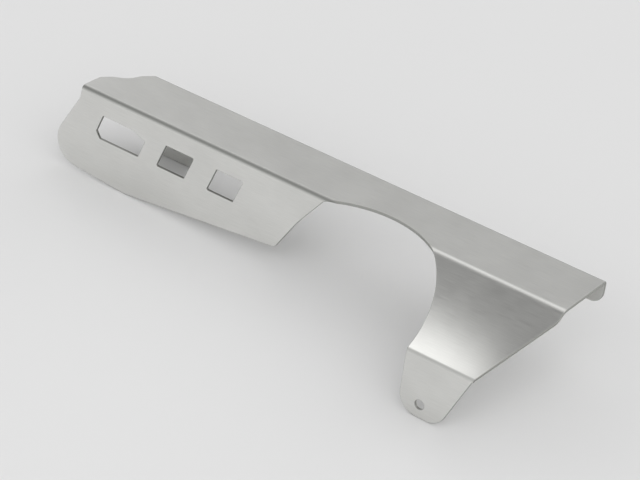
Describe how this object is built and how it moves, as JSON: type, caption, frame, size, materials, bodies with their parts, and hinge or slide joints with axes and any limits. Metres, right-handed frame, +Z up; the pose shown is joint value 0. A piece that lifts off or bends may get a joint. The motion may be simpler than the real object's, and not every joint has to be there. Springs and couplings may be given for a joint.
{
  "type": "motorcycle chain guard",
  "caption": "Folded sheet-aluminium chain guard with windows in its front side plate, an arch for the shock absorber, a flared rear side plate and mounting tabs.",
  "frame": {"origin": "centre of the screw hole in the rear mounting tab, halfway through the sheet", "axes": "X runs along the guard from its front end to its rear end, Y from the outer side to the inner side, Z up, square to the top plate"},
  "size_m": [0.3903, 0.1065, 0.0755],
  "materials": {
    "sheet": "satin"
  },
  "bodies": {
    "root": {"chain_guard": "sheet"}
  },
  "joints": []
}
